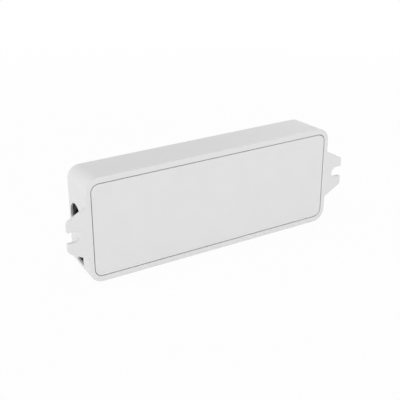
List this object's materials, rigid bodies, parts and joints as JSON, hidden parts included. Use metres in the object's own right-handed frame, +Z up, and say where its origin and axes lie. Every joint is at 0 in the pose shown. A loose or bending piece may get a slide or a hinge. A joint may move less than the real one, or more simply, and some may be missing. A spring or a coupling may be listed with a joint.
{
  "type": "wifi led controller",
  "caption": "Flat pale box with an open-slotted ear at each end that drives LED strip over Wi-Fi; its base plate pulls off and its pairing button presses.",
  "frame": {"origin": "middle of the housing's footprint on the surface that it stands on, with the housing on its long narrow side", "axes": "+X along the housing, with the openings at -X; -Y out of the base plate, towards the surface that the ears are screwed to; +Z up, across the housing's height"},
  "size_m": [0.1438, 0.021, 0.048],
  "materials": {
    "housing_plastic": "fine satin moulding, pale neutral grey-white",
    "plate_plastic": "fine satin moulding, pale neutral grey-white",
    "button_plastic": "fine satin moulding, a shade darker than the housing",
    "clear_plastic": "clear, polished",
    "screw_steel": "zinc plated",
    "board_laminate": "green solder mask over laminate",
    "tinned_copper": "tinned, dull silver",
    "black_plastic": "black moulding",
    "contact_metal": "nickel plated",
    "socket_nylon": "black nylon",
    "pin_brass": "brass, lightly tinned",
    "fuse_coating": "dipped coating, glossy",
    "chip_epoxy": "moulded epoxy, dull black",
    "can_aluminium": "bare, drawn",
    "capacitor_sleeve": "shrunk film, dark",
    "ferrite": "sintered, dark grey",
    "copper_wire": "enamelled copper",
    "resistor_black": "glazed black",
    "ceramic_tan": "fired ceramic, tan",
    "module_laminate": "dark blue solder mask",
    "shield_steel": "tinned sheet",
    "gold_track": "gold plated copper",
    "lamp_white": "white moulding"
  },
  "bodies": {
    "housing": {"housing_shell": "housing_plastic", "light_guide": "clear_plastic", "board_screws": "screw_steel", "circuit_board": "board_laminate", "solder_lands": "tinned_copper", "jack_housing": "black_plastic", "jack_pin": "contact_metal", "jack_spring": "contact_metal", "jack_side_contact": "contact_metal", "strip_socket": "socket_nylon", "strip_pins": "pin_brass", "input_fuse": "fuse_coating", "fuse_leads": "tinned_copper", "diodes": "chip_epoxy", "diode_tabs": "tinned_copper", "input_capacitor": "can_aluminium", "input_sleeve": "capacitor_sleeve", "output_capacitor": "can_aluminium", "output_sleeve": "capacitor_sleeve", "capacitor_leads": "tinned_copper", "coil_ring": "ferrite", "coil_core": "ferrite", "coil_winding": "copper_wire", "regulator_chip": "chip_epoxy", "regulator_leads": "tinned_copper", "red_driver": "chip_epoxy", "green_driver": "chip_epoxy", "blue_driver": "chip_epoxy", "driver_tabs": "tinned_copper", "chip_resistors": "resistor_black", "chip_capacitors": "ceramic_tan", "chip_ends": "tinned_copper", "wifi_board": "module_laminate", "wifi_shield": "shield_steel", "radio_chip": "chip_epoxy", "memory_chip": "chip_epoxy", "crystal": "shield_steel", "aerial_track_copper": "gold_track", "status_lamp": "lamp_white", "lamp_lens": "clear_plastic", "switch_base": "black_plastic", "switch_cover": "shield_steel", "switch_dome": "pin_brass", "switch_legs": "tinned_copper"},
    "base_plate": {"base_plate": "plate_plastic"},
    "pairing_button": {"button_cap": "button_plastic", "switch_plunger": "black_plastic"}
  },
  "joints": [
    {"name": "base_plate_slide", "type": "slide", "parent": "housing", "child": "base_plate", "axis": [0, -1, 0], "range_m": [0, 0.04]},
    {"name": "button_press", "type": "slide", "parent": "housing", "child": "pairing_button", "axis": [0, -1, 0], "range_m": [0, 0.0003], "stiffness_N_per_m": 400, "springref_m": -0.003}
  ]
}
